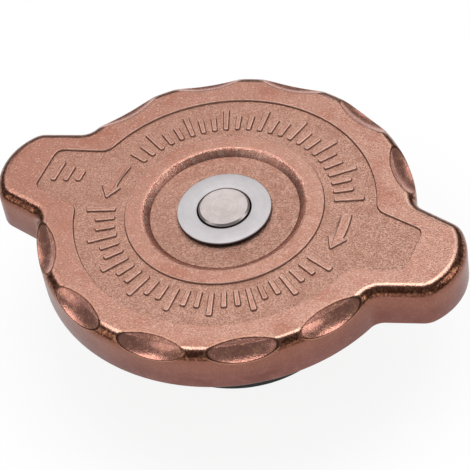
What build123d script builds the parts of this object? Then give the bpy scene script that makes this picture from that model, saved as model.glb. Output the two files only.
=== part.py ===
from build123d import *
from math import atan2, cos, radians, sin, sqrt, tan
import os

# Radiator pressure cap, in millimetres. Z is the cap's axis and X runs from ear to ear. The cap stands on
# the foot of its valve hub, at Z = 0.

# Cover: one pressed sheet with two ears
body_r = 30.0
ear_overhang = 9.25
ear_side_overhang = 6.2
ear_half_width = 9.2
ear_side_angle = 15.4
ear_corner_r = 3.5
ear_root_r = 2.6
skirt_height = 7.4
skirt_edge_r = 0.4
sheet = 1.0
shoulder_r = 2.0

# Dimples pressed into the shoulder between the ears
dimples_per_side = 5
dimple_pitch = 28.4
dimple_inset = 3.1
dimple_drop = 1.95
dimple_edge_inset = 0.1
dimple_section_r = 4.9
dimple_length_r = 15.1
dimple_tool_length = 13.0

# Recessed band with a pocket in each ear
band_outer_r = 23.9
band_inner_r = 15.7
band_depth = 0.35
pocket_reach = 31.4
pocket_half_width = 4.3
pocket_side_angle = 13.0
pocket_corner_r = 1.5
pocket_root_r = 2.5
emboss_margin = 0.3

# Dish round the rivet
dish_floor_r = 11.8
dish_wall_run = 1.1
dish_depth = 0.95
dish_edge_r = 0.5

# Raised marks in the band: radial bars, two turn arrows, and three short bars in the left pocket
mark_height = 0.3
bar_span = 2.3
bar_inner_r = 17.3
long_bar_outer_r = 21.9
short_bar_outer_r = 20.4
bar_pitch = 6.0
bars_per_group = 3
front_bars_from = 197.0
front_bars_to = 343.0
back_bars_from = 22.0
back_bars_to = 160.0
arrow_r = 19.35
arrow_width = 1.7
arrow_head_overhang = 0.8
arrow_tail_angle = 12.5
arrow_neck_angle = -2.0
arrow_tip_angle = -10.0
pocket_bar_width = 0.8
pocket_bar_x = 27.2
pocket_bar_pitch = 2.0
pocket_bar_length = 4.2
pocket_bar_step = 1.0

# Locking claws turned in at the foot of the skirt, square to the ears
claw_inner_r = 22.6
claw_half_span = 23.0
claw_corner_r = 1.5

# Rivet, washers and the sheets clamped under the cover
rivet_head_r = 4.2
rivet_head_height = 0.45
rivet_edge_r = 0.35
rivet_shoulder_r = 3.3
rivet_shank_r = 2.5
rivet_tail_r = 4.2
rivet_tail_height = 0.8
rivet_washer_r = 7.45
rivet_washer_t = 0.7
swivel_washer_r = 8.0
swivel_washer_t = 0.4
disc_r = 22.0
disc_t = 0.4
disc_flat_r = 10.0
disc_cone_r = 12.5
disc_drop = 0.4
holder_t = 0.7
holder_flat_r = 9.3
holder_cone_r = 11.2
holder_brim_r = 18.0
gasket_r = 22.2
gasket_web_r = 14.0
gasket_web_t = 0.6
gasket_foot_t = 0.8
gasket_foot_gap = 0.4

# Cage that guides the hub
cage_r = 9.0
cage_wall = 0.8
cage_corner_r = 0.6
cage_window_width = 3.2
cage_window_height = 4.5
cage_window_below_top = 3.2
cage_windows = 4

# Pressure valve
seal_below_land = 23.4
seal_r = 17.75
seal_t = 2.0
seal_bead_height = 0.3
seal_bead_gap = 0.6
seal_edge_r = 0.3
plate_r = 16.6
plate_t = 0.8
plate_rim_height = 1.4
plate_bend_r = 0.5
retainer_r = 12.5
retainer_t = 0.6
hub_foot_r = 8.6
hub_foot_t = 0.6
hub_neck_r = 6.2
hub_tube_r = 6.7
cage_lip_spare = 2.3
hub_flange_t = 0.8
hub_bore_r = 5.5
hub_web_hole_r = 2.6
hub_web_t = 1.6
pressure_travel = 4.0

# Vacuum valve
vacuum_pocket_r = 5.2
vacuum_pocket_depth = 2.6
vacuum_disc_r = 4.8
vacuum_disc_t = 0.6
vacuum_seal_r = 4.6
vacuum_seal_t = 0.7
vacuum_stem_r = 0.9
vacuum_clip_r = 4.4
vacuum_clip_t = 0.5
vacuum_tail_r = 1.5
vacuum_tail_height = 0.4

# Springs
main_spring_r = 12.1
main_wire_d = 1.8
main_turns = 4.0
light_spring_r = 3.6
light_wire_d = 0.5
light_turns = 3.0
light_spring_length = 4.8

# Clearances
running_gap = 0.05
hub_gap = 0.3

# Worked out from the sizes above: the dish's rim, and heights above the floor
dish_top_r = dish_floor_r + dish_wall_run
seal_z = hub_foot_t + retainer_t
bead_z = seal_z - seal_bead_height
plate_z = seal_z + seal_t
plate_top_z = plate_z + plate_t
land_z = bead_z + seal_below_land
skirt_z = land_z - skirt_height
band_z = land_z - band_depth
dish_z = land_z - dish_depth
washer_z = dish_z + running_gap
washer_top_z = washer_z + rivet_washer_t
swivel_z = dish_z - sheet - running_gap - swivel_washer_t
disc_z = swivel_z - disc_t
holder_z = disc_z - holder_t
cage_top_z = holder_z
gasket_top_z = disc_z - disc_drop
gasket_step_z = gasket_top_z - gasket_web_t
gasket_z = gasket_step_z - gasket_foot_t
brim_z = gasket_step_z - holder_t
cage_lip_z = plate_top_z + pressure_travel + cage_lip_spare
hub_flange_z = cage_lip_z + cage_wall + running_gap
web_z = vacuum_pocket_depth
web_top_z = web_z + hub_web_t
vacuum_seal_z = web_z - vacuum_seal_t
vacuum_disc_z = vacuum_seal_z - vacuum_disc_t
clip_z = web_top_z + light_spring_length
clip_top_z = clip_z + vacuum_clip_t


def turned(*outline):
    """Solid of revolution about Z from (radius, height) points."""
    return revolve(Plane.XZ * make_face(Polyline(*outline, close=True)), Axis.Z)


def ring(outer_r, inner_r, low_z, high_z):
    return turned((inner_r, low_z), (outer_r, low_z), (outer_r, high_z), (inner_r, high_z))


def slab(sketch, low_z, high_z):
    return extrude(Pos(0, 0, low_z) * sketch, high_z - low_z)


def polar(radius, angle):
    return radius * cos(radians(angle)), radius * sin(radians(angle))


def tapered_tab(near_x, near_half, far_x, far_half):
    """Trapezium along +X, symmetric about the X axis."""
    return make_face(
        Polyline((near_x, near_half), (far_x, far_half), (far_x, -far_half), (near_x, -near_half), close=True)
    )


def both_ways(sketch):
    return sketch + Rot(0, 0, 180) * sketch


def rounded_at(sketch, radius, is_corner):
    return fillet(sketch.vertices().filter_by(is_corner), radius)


def distance_from_axis(vertex):
    return sqrt(vertex.X**2 + vertex.Y**2)


def circles_near(solid, radius):
    return solid.edges().filter_by(GeomType.CIRCLE).filter_by(lambda e: abs(e.radius - radius) < running_gap)


def cover_outline():
    """Plan of the cover at its foot: the round body with two tapered, round-ended ears."""
    slope = tan(radians(ear_side_angle))
    near_half = ear_half_width + slope * body_r
    corner_x, corner_half = body_r + ear_side_overhang, ear_half_width - slope * ear_side_overhang
    sides = Polyline((corner_x, -corner_half), (0, -near_half), (0, near_half), (corner_x, corner_half))
    end = ThreePointArc((corner_x, corner_half), (body_r + ear_overhang, 0), (corner_x, -corner_half))
    plan = Circle(body_r) + both_ways(make_face([sides, end]))
    plan = rounded_at(plan, ear_corner_r, lambda v: distance_from_axis(v) > body_r + sheet)
    return rounded_at(plan, ear_root_r, lambda v: abs(distance_from_axis(v) - body_r) < running_gap)


def band_outline(margin=0.0):
    """Plan of the recessed band and its two pockets, grown by a margin for the sheet's underside."""
    slope = tan(radians(pocket_side_angle))
    near_half = pocket_half_width + slope * pocket_reach
    pocket = tapered_tab(0, near_half, pocket_reach, pocket_half_width)
    pocket = rounded_at(pocket, pocket_corner_r, lambda v: v.X > band_outer_r)
    plan = Circle(band_outer_r) + both_ways(pocket)
    plan = rounded_at(plan, pocket_root_r, lambda v: abs(distance_from_axis(v) - band_outer_r) < running_gap)
    if margin:
        plan = offset(plan, margin)
    return plan - Circle(band_inner_r - margin)


def dimples(growth=0.0):
    """Spindles that scoop the shoulder from the land down to the skirt, their length along the rim."""
    top_r, low_r = body_r - dimple_inset, body_r - dimple_edge_inset
    half_chord = sqrt((low_r - top_r) ** 2 + dimple_drop**2) / 2
    lean = atan2(low_r - top_r, dimple_drop)
    reach = sqrt(dimple_section_r**2 - half_chord**2)
    centre_r = (top_r + low_r) / 2 + reach * cos(lean)
    centre_z = land_z - dimple_drop / 2 + reach * sin(lean)
    section_r, length_r, half = dimple_section_r + growth, dimple_length_r + growth, dimple_tool_length / 2
    end_r = section_r - length_r + sqrt(length_r**2 - half**2)
    side = ThreePointArc((-half, end_r), (0, section_r), (half, end_r))
    base = Polyline((half, end_r), (half, 0), (-half, 0), (-half, end_r))
    spindle = revolve(make_face([side, base]), Axis.X)
    steps = [index - (dimples_per_side - 1) / 2 for index in range(dimples_per_side)]
    angles = [side + step * dimple_pitch for side in (90, 270) for step in steps]
    return [Rot(0, 0, a) * Pos(centre_r, 0, centre_z) * Rot(0, 0, 90) * spindle for a in angles]


def ring_sector(inner_r, outer_r, low_angle, high_angle):
    middle = (low_angle + high_angle) / 2
    return make_face(
        [
            ThreePointArc(polar(outer_r, low_angle), polar(outer_r, middle), polar(outer_r, high_angle)),
            Line(polar(outer_r, high_angle), polar(inner_r, high_angle)),
            ThreePointArc(polar(inner_r, high_angle), polar(inner_r, middle), polar(inner_r, low_angle)),
            Line(polar(inner_r, low_angle), polar(outer_r, low_angle)),
        ]
    )


def radial_bars():
    """Raised bars round the band, each group a long one and short ones after it."""
    bars = Sketch()
    for first, last in ((front_bars_from, front_bars_to), (back_bars_from, back_bars_to)):
        for index in range(int((last - first) / bar_pitch) + 1):
            outer = short_bar_outer_r if index % bars_per_group else long_bar_outer_r
            middle = first + index * bar_pitch
            bars += ring_sector(bar_inner_r, outer, middle - bar_span / 2, middle + bar_span / 2)
    return bars


def turn_arrow():
    """Curved arrow on the right of the band, which points clockwise seen from above."""
    inner_r, outer_r = arrow_r - arrow_width / 2, arrow_r + arrow_width / 2
    tail, neck = arrow_tail_angle, arrow_neck_angle
    middle = (tail + neck) / 2
    outer_arc = ThreePointArc(polar(outer_r, tail), polar(outer_r, middle), polar(outer_r, neck))
    inner_arc = ThreePointArc(polar(inner_r, neck), polar(inner_r, middle), polar(inner_r, tail))
    head = Polyline(
        polar(outer_r, neck),
        polar(outer_r + arrow_head_overhang, neck),
        polar(arrow_r, arrow_tip_angle),
        polar(inner_r - arrow_head_overhang, neck),
        polar(inner_r, neck),
    )
    end = Line(polar(inner_r, tail), polar(outer_r, tail))
    return make_face([outer_arc, head, inner_arc, end])


def pocket_bars():
    """Three bars of stepped length in the left ear's pocket."""
    bars = Sketch()
    for step in range(bars_per_group):
        length = pocket_bar_length - step * pocket_bar_step
        offset_x = (step - 1) * pocket_bar_pitch
        bars += Pos(offset_x - pocket_bar_x, 0) * Rectangle(pocket_bar_width, length)
    return bars


def claws():
    """Two flat lips turned in from the foot of the skirt."""
    lip = ring_sector(claw_inner_r, body_r - sheet / 2, -claw_half_span, claw_half_span)
    lip = rounded_at(lip, claw_corner_r, lambda v: distance_from_axis(v) < body_r - sheet)
    return slab(Rot(0, 0, 90) * both_ways(lip), skirt_z, skirt_z + sheet)


def cap_cover():
    plan = cover_outline()
    outer = slab(plan, skirt_z, land_z)
    outer = fillet(outer.edges().group_by(Axis.Z)[-1], shoulder_r)
    outer = fillet(outer.edges().group_by(Axis.Z)[0], skirt_edge_r)
    hollow = slab(offset(plan, -sheet), skirt_z, land_z - sheet)
    hollow = fillet(hollow.edges().group_by(Axis.Z)[-1], shoulder_r - sheet)
    hollow -= dimples(sheet)
    hollow -= slab(band_outline(emboss_margin), band_z - sheet, land_z)
    hollow -= turned(
        (0, dish_z - sheet),
        (dish_floor_r + emboss_margin, dish_z - sheet),
        (dish_top_r + emboss_margin, land_z - sheet),
        (0, land_z - sheet),
    )
    cover = outer - dimples() - hollow
    cover -= slab(band_outline(), band_z, land_z)
    cover -= turned((0, dish_z), (dish_floor_r, dish_z), (dish_top_r, land_z), (0, land_z))
    cover = fillet(circles_near(cover, dish_top_r) + circles_near(cover, dish_floor_r), dish_edge_r)
    cover -= slab(Circle(rivet_shoulder_r + running_gap), skirt_z, land_z)
    arrows = turn_arrow()
    marks = radial_bars() + arrows + arrows.mirror(Plane.YZ) + pocket_bars()
    return cover + slab(marks, band_z, band_z + mark_height) + claws()


def rivet_washer():
    return ring(rivet_washer_r, rivet_shank_r, washer_z, washer_top_z)


def centre_rivet():
    """Round head over the washer, shoulder that the cover turns on, shank, and clinched tail."""
    head_top_z = washer_top_z + rivet_head_height
    tail_z = cage_top_z - cage_wall
    rivet = turned(
        (0, tail_z - rivet_tail_height),
        (rivet_tail_r, tail_z - rivet_tail_height),
        (rivet_tail_r, tail_z),
        (rivet_shank_r, tail_z),
        (rivet_shank_r, swivel_z),
        (rivet_shoulder_r, swivel_z),
        (rivet_shoulder_r, washer_z),
        (rivet_shank_r, washer_z),
        (rivet_shank_r, washer_top_z),
        (rivet_head_r, washer_top_z),
        (rivet_head_r, head_top_z),
        (0, head_top_z),
    )
    rims = circles_near(rivet, rivet_head_r).sort_by(Axis.Z)[-1:] + circles_near(rivet, rivet_tail_r)[:1]
    return fillet(rims, rivet_edge_r)


def swivel_washer():
    return ring(swivel_washer_r, rivet_shoulder_r + running_gap, swivel_z, swivel_z + swivel_washer_t)


def spring_disc():
    """Flat centre, shallow cone, flat rim over the gasket."""
    return turned(
        (rivet_shank_r, disc_z),
        (disc_flat_r, disc_z),
        (disc_cone_r, disc_z - disc_drop),
        (disc_r, disc_z - disc_drop),
        (disc_r, disc_z - disc_drop + disc_t),
        (disc_cone_r, disc_z - disc_drop + disc_t),
        (disc_flat_r, disc_z + disc_t),
        (rivet_shank_r, disc_z + disc_t),
    )


def gasket_retainer():
    return turned(
        (rivet_shank_r, holder_z),
        (holder_flat_r, holder_z),
        (holder_cone_r, brim_z),
        (holder_brim_r, brim_z),
        (holder_brim_r, brim_z + holder_t),
        (holder_cone_r, brim_z + holder_t),
        (holder_flat_r, holder_z + holder_t),
        (rivet_shank_r, holder_z + holder_t),
    )


def neck_gasket():
    """Ring with a thin web above the retainer's brim and a thick foot outside it."""
    foot_inner_r = holder_brim_r + gasket_foot_gap
    return turned(
        (foot_inner_r, gasket_z),
        (gasket_r, gasket_z),
        (gasket_r, gasket_top_z),
        (gasket_web_r, gasket_top_z),
        (gasket_web_r, gasket_step_z),
        (foot_inner_r, gasket_step_z),
    )


def spring_cage():
    bore_r = cage_r - cage_wall
    lip_r = hub_tube_r + hub_gap
    cup = turned(
        (rivet_shank_r, cage_top_z - cage_wall),
        (bore_r, cage_top_z - cage_wall),
        (bore_r, cage_lip_z + cage_wall),
        (lip_r, cage_lip_z + cage_wall),
        (lip_r, cage_lip_z),
        (cage_r, cage_lip_z),
        (cage_r, cage_top_z),
        (rivet_shank_r, cage_top_z),
    )
    cup = fillet(circles_near(cup, cage_r), cage_corner_r)
    window = extrude(
        Plane.YZ * SlotOverall(cage_window_height, cage_window_width, rotation=90), cage_r + cage_wall
    )
    middle_z = cage_top_z - cage_wall - cage_window_below_top - cage_window_height / 2
    for index in range(cage_windows):
        cup -= Rot(0, 0, (index + 0.5) * 360 / cage_windows) * Pos(0, 0, middle_z) * window
    return cup


def coil(middle_r, wire_d, turns, low_z, high_z):
    """Open-wound compression spring with both ends ground flat."""
    height = high_z - low_z - wire_d / 2
    path = Helix(height / turns, height, middle_r)
    wire = sweep(Plane(path @ 0, z_dir=path % 0) * Circle(wire_d / 2), path, is_frenet=True)
    wire = Pos(0, 0, low_z + wire_d / 4) * wire
    return wire & ring(middle_r + wire_d, middle_r - wire_d, low_z, high_z)


def main_spring():
    return coil(main_spring_r, main_wire_d, main_turns, plate_top_z, brim_z)


def valve_hub():
    """Turned hub: catch flange, tube, neck through the plate and seal, clinched foot, and a web inside."""
    return turned(
        (hub_web_hole_r, web_z),
        (vacuum_pocket_r, web_z),
        (vacuum_pocket_r, 0),
        (hub_foot_r, 0),
        (hub_foot_r, hub_foot_t),
        (hub_neck_r, hub_foot_t),
        (hub_neck_r, plate_top_z),
        (hub_tube_r, plate_top_z),
        (hub_tube_r, hub_flange_z),
        (cage_r - cage_wall - hub_gap, hub_flange_z),
        (cage_r - cage_wall - hub_gap, hub_flange_z + hub_flange_t),
        (hub_bore_r, hub_flange_z + hub_flange_t),
        (hub_bore_r, web_top_z),
        (hub_web_hole_r, web_top_z),
    )


def valve_plate():
    """Round plate with an upturned rim."""
    plate = turned(
        (hub_neck_r, plate_z),
        (plate_r, plate_z),
        (plate_r, plate_top_z + plate_rim_height),
        (plate_r - plate_t, plate_top_z + plate_rim_height),
        (plate_r - plate_t, plate_top_z),
        (hub_neck_r, plate_top_z),
    )
    return fillet(circles_near(plate, plate_r).sort_by(Axis.Z)[0], plate_bend_r)


def pressure_seal():
    """Moulded disc, thicker outside the retainer, where it meets its seat."""
    bead_inner_r = retainer_r + seal_bead_gap
    seal = turned(
        (hub_neck_r, seal_z),
        (bead_inner_r, seal_z),
        (bead_inner_r, bead_z),
        (seal_r, bead_z),
        (seal_r, plate_z),
        (hub_neck_r, plate_z),
    )
    return fillet(circles_near(seal, seal_r), seal_edge_r)


def seal_retainer():
    return ring(retainer_r, hub_neck_r, hub_foot_t, seal_z)


def vacuum_valve():
    """Disc and stem in one piece, clinched over the clip at the top."""
    return turned(
        (0, vacuum_disc_z),
        (vacuum_disc_r, vacuum_disc_z),
        (vacuum_disc_r, vacuum_seal_z),
        (vacuum_stem_r, vacuum_seal_z),
        (vacuum_stem_r, clip_top_z),
        (vacuum_tail_r, clip_top_z),
        (vacuum_tail_r, clip_top_z + vacuum_tail_height),
        (0, clip_top_z + vacuum_tail_height),
    )


def vacuum_seal():
    return ring(vacuum_seal_r, vacuum_stem_r, vacuum_seal_z, web_z)


def vacuum_spring():
    return coil(light_spring_r, light_wire_d, light_turns, web_top_z, clip_z)


def spring_clip():
    return ring(vacuum_clip_r, vacuum_stem_r, clip_z, clip_top_z)


os.makedirs("parts", exist_ok=True)
for make in (
    cap_cover,
    rivet_washer,
    centre_rivet,
    swivel_washer,
    spring_disc,
    neck_gasket,
    gasket_retainer,
    spring_cage,
    main_spring,
    valve_hub,
    valve_plate,
    pressure_seal,
    seal_retainer,
    vacuum_valve,
    vacuum_seal,
    vacuum_spring,
    spring_clip,
):
    export_step(make(), f"parts/{make.__name__}.step")
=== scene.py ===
import math

import bpy
import numpy as np
from mathutils import Matrix, Vector


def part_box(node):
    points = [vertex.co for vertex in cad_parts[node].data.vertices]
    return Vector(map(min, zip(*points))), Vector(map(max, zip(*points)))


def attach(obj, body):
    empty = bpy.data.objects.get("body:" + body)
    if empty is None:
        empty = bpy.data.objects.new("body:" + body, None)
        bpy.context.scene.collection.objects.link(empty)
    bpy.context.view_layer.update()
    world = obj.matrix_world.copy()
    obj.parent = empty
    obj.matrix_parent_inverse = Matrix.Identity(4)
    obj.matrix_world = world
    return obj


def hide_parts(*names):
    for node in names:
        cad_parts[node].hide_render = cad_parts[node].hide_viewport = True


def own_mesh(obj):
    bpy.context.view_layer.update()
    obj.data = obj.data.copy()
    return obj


# Radiator pressure cap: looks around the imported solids.
# Shapes are worked out in millimetres and degrees and written in metres. Looks and lamps are given in metres.

MM = 0.001

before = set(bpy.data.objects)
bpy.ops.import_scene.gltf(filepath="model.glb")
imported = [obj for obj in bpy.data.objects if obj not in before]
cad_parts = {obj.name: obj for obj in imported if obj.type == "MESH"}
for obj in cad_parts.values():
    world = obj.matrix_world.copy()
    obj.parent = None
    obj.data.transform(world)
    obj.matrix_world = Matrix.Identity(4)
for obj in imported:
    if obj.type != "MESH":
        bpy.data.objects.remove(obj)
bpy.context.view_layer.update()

# Sizes from the frame
cover_low, cover_high = (Vector(corner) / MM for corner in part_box("cap_cover"))
land_z = cover_high.z
foot_z = cover_low.z
ear_reach = cover_high.x
body_r = cover_high.y
washer_low, washer_high = (Vector(corner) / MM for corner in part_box("rivet_washer"))
rivet_low, rivet_high = (Vector(corner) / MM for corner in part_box("centre_rivet"))

# Cover, as the solid has it
sheet = 1.0
shoulder_r = 2.0
skirt_edge_r = 0.4
ear_half_width = 9.2
ear_side_angle = 15.4
ear_end_r = 10.7
ear_corner_r = 3.5
ear_root_r = 2.6
band_outer_r = 23.9
band_inner_r = 15.7
band_depth = 0.35
pocket_reach = 31.4
pocket_half_width = 4.3
pocket_side_angle = 13.0
pocket_end_r = 400.0
pocket_corner_r = 1.5
pocket_root_r = 2.5
emboss_margin = 0.3
dish_top_r = 12.9
dish_floor_r = 11.8
dish_depth = 0.95
dish_foot_r = 0.35
dish_edge_r = 1.1
hole_r = 3.35

# Dimples in the shoulder
dimples_per_side = 5
dimple_pitch = 28.4
dimple_inset = 3.1
dimple_drop = 1.95
dimple_edge_inset = 0.1
dimple_section_r = 4.9
dimple_length_r = 15.1
dimple_half_length = 6.5
dimple_lip = 0.2
dimple_reach_down = 3.4

# Raised marks
mark_height = 0.3
bar_span = 2.3
bar_inner_r = 17.3
long_bar_outer_r = 21.9
short_bar_outer_r = 20.4
bar_pitch = 6.0
bars_per_group = 3
bar_ranges = ((197.0, 343.0), (22.0, 160.0))
bar_corner_r = 0.25
arrow_inner_r = 18.5
arrow_outer_r = 20.2
arrow_head_overhang = 0.8
arrow_tail_angle = 12.5
arrow_neck_angle = -2.0
arrow_tip_angle = -10.0
arrow_corner_r = 0.16
pocket_bars = 3
pocket_bar_width = 0.8
pocket_bar_x = 27.2
pocket_bar_pitch = 2.0
pocket_bar_length = 4.2
pocket_bar_step = 1.0

# Claws under the skirt
claw_inner_r = 22.6
claw_half_span = 23.0
claw_corner_r = 1.5

# Rivet and washer
shank_r = 2.5
rivet_shoulder_r = 3.3
tail_r = rivet_high.x
tail_t = 0.8
head_r = 4.05
bevel_width = 0.3
bevel_height = 0.3
crown_inset = 0.7
crown_dip = 0.03
recess_r = 4.3
recess_depth = 0.25

# Pressure valve under the skirt
hub_neck_r = 6.2
hub_tube_r = 6.7
hub_bore_r = 5.5
hub_web_hole_r = 2.6
hub_flange_r = 7.9
hub_foot_t = 0.6
hub_flange_t = 0.8
hub_web_t = 1.6
vacuum_pocket_r = 5.2
vacuum_pocket_depth = 2.6
plate_t = 0.8
plate_bend_r = 0.5
retainer_r = 12.5
seal_bead_gap = 0.6
seal_flash = 0.06
seal_flash_half_t = 0.08

# Springs: middle radius, wire diameter and turns
MAIN_COIL = (12.1, 1.8, 4.0)
LIGHT_COIL = (3.6, 0.5, 3.0)

# Soft edges of the pressing
edge_r = 0.12
step_edge_r = 0.1
step_run = 0.08
step_flat = 0.12

# Cover's mesh: how far beside its edges its rows start and end
dish_land = 1.2
skirt_foot_run = 1.2
skirt_inside_low = 1.5
skirt_inside_high = 2.5
shoulder_root_run = 0.4
under_land_run = 0.8
under_emboss_run = 0.5

# Cover's mesh: its rows across flat stretches, as shares
BAND_SHARES = (0.03, 0.5, 0.97)
LAND_SHARES = (0.06, 0.3, 0.5, 0.6, 0.66, 0.72, 0.78, 0.83, 0.88, 0.92, 0.96)
UNDER_LAND_SHARES = (0.3, 0.6)

# How fine the meshes are
END_POINTS, CORNER_POINTS, SIDE_POINTS, ROOT_POINTS, BODY_POINTS = 14, 10, 22, 16, 120
SHOULDER_ROWS, SKIRT_ROWS = 20, 10
ARC_STEPS, FINE_STEPS, FINEST_STEPS = 4, 5, 6
SEGMENTS, FINE_SEGMENTS = 200, 240
TURN_STEPS, WIRE_POINTS = 72, 18
arc_step = 0.5
claw_arc_step = 0.4

# Largest share of a side that an arc takes, the share of its radius at which a soft edge's middle lies, and
# the least cosine that a corner's normal is divided by
ARC_LIMIT, ARC_MIDDLE, LEAST_COSINE = 0.49, 0.3, 0.6
NEAR_ZERO = 1e-6

# The dimple attribute is the depth in a dimple plus this shift, kept between 0 and its top
DIMPLE_SHIFT, DIMPLE_TOP = 1.0, 3
OUTSIDE_DIMPLES = -9.0

# How strong the painted shade at a step's foot and the painted highlight on its top edge are, at shares of
# its height
CREASE_SHADE_HEIGHTS, CREASE_SHADE_STRENGTHS = (0, 0.01, 0.3, 0.7), (0, 1, 0.7, 0)
EDGE_HIGHLIGHT_HEIGHTS, EDGE_HIGHLIGHT_STRENGTHS = (0.7, 0.9, 0.99, 1), (0, 1, 0.8, 0)

# Dish: how far from the hole its wall can begin, and the place and width of the painted shade line at the
# wall's foot
hole_margin = 1
dish_crease_shift = 0.03
dish_crease_width = 0.11

band_z = land_z - band_depth
dish_z = land_z - dish_depth
mark_top_z = band_z + mark_height

# Side of a raised mark: how far out and how high each row is, from under the band's floor to the flat top
MARK_PROFILE = (
    (0.14, band_z - 0.2), (0.14, band_z - 0.005), (0.09, band_z + 0.01), (0.04, band_z + 0.04),
    (0.01, band_z + 0.1), (-0.01, mark_top_z - 0.09), (-0.04, mark_top_z - 0.03),
    (-0.09, mark_top_z - 0.003), (-0.14, mark_top_z - 0.001), (-0.2, mark_top_z),
)


def new_object(name, vertices, faces):
    """Smooth-shaded object from vertices in millimetres."""
    mesh = bpy.data.meshes.new(name)
    mesh.from_pydata([tuple(v) for v in np.asarray(vertices) * MM], [], faces)
    mesh.validate()
    mesh.shade_smooth()
    obj = bpy.data.objects.new(name, mesh)
    bpy.context.scene.collection.objects.link(obj)
    return obj


def cover_with(obj, material):
    obj.data.materials.clear()
    obj.data.materials.append(material)


def dress(obj, body, material, stands_for=()):
    """Gives a new piece its material and its body, and hides the nodes that it stands for."""
    cover_with(obj, material)
    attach(obj, body)
    if stands_for:
        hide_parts(*stands_for)


def dress_nodes(material, *names):
    """Gives CAD nodes whose shape stays a material."""
    for name in names:
        cover_with(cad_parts[name], material)


def add_attribute(obj, name, values):
    obj.data.attributes.new(name, "FLOAT", "POINT").data.foreach_set("value", np.asarray(values, np.float32))


def rounded(points, radii, steps=ARC_STEPS):
    """Polyline with its inner corners turned into arcs of the given radii."""
    points = [np.array(p, float) for p in points]
    out = [points[0]]
    for before, corner, after, radius in zip(points, points[1:], points[2:], radii):
        if not radius:
            out.append(corner)
            continue
        u, w = before - corner, after - corner
        lu, lw = np.linalg.norm(u), np.linalg.norm(w)
        u, w = u / lu, w / lw
        half = math.acos(max(-1.0, min(1.0, float(u @ w)))) / 2
        reach = min(radius / math.tan(half), ARC_LIMIT * lu, ARC_LIMIT * lw)
        true_r = reach * math.tan(half)
        middle = (u + w) / np.linalg.norm(u + w)
        centre = corner + middle * (true_r / math.sin(half))
        start, end = corner + u * reach - centre, corner + w * reach - centre
        sweep = math.pi - 2 * half
        turn = math.copysign(1.0, start[0] * end[1] - start[1] * end[0])
        for k in range(steps + 1):
            a = turn * sweep * k / steps
            c, s = math.cos(a), math.sin(a)
            out.append(centre + np.array([c * start[0] - s * start[1], s * start[0] + c * start[1]]))
    out.append(points[-1])
    return out


def lobed_outline(round_r, reach, half_width, side_angle, end_r, corner_r, root_r):
    """Points of a round plan with two tapered lobes along X, and their outward normals.

    The points run anticlockwise from +X."""
    slope, tilt = math.tan(math.radians(side_angle)), math.radians(side_angle)
    side_normal = np.array([math.sin(tilt), math.cos(tilt)])

    def meet(line_shift, centre_x, radius):
        """Where the side, moved out by line_shift, crosses the outer half of a circle about (centre_x, 0)."""
        height = half_width + slope * round_r + line_shift / math.cos(tilt)
        a, b = 1 + slope**2, -2 * (centre_x + slope * height)
        c = centre_x**2 + height**2 - radius**2
        x = (-b + math.sqrt(b * b - 4 * a * c)) / (2 * a)
        return np.array([x, height - slope * x])

    end_centre = np.array([reach - end_r, 0.0])
    corner = meet(-corner_r, end_centre[0], end_r - corner_r)
    root = meet(root_r, 0.0, round_r + root_r)
    corner_angle = math.atan2(corner[1], corner[0] - end_centre[0])
    root_angle = math.atan2(root[1], root[0])
    side_angle_out = math.pi / 2 - tilt

    def arc(centre, radius, start, end, count, inward=False):
        angles = np.linspace(start, end, count, endpoint=False)
        away = np.stack([np.cos(angles), np.sin(angles)], 1)
        return centre + radius * away, -away if inward else away

    side_from, side_to = corner + corner_r * side_normal, root - root_r * side_normal
    share = np.linspace(0, 1, SIDE_POINTS, endpoint=False)[:, None]
    stretches = [
        arc(end_centre, end_r, 0, corner_angle, END_POINTS),
        arc(corner, corner_r, corner_angle, side_angle_out, CORNER_POINTS),
        (side_from + share * (side_to - side_from), np.tile(side_normal, (SIDE_POINTS, 1))),
        arc(root, root_r, side_angle_out + math.pi, root_angle + math.pi, ROOT_POINTS, inward=True),
        arc(np.zeros(2), round_r, root_angle, math.pi / 2, BODY_POINTS),
    ]
    points = np.concatenate([s[0] for s in stretches])
    normals = np.concatenate([s[1] for s in stretches])
    flip = np.array([-1.0, 1.0])
    top = np.array([[0.0, 1.0]])
    points = np.concatenate([points, top * round_r, points[:0:-1] * flip])
    normals = np.concatenate([normals, top, normals[:0:-1] * flip])
    return np.concatenate([points, -points]), np.concatenate([normals, -normals])


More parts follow.
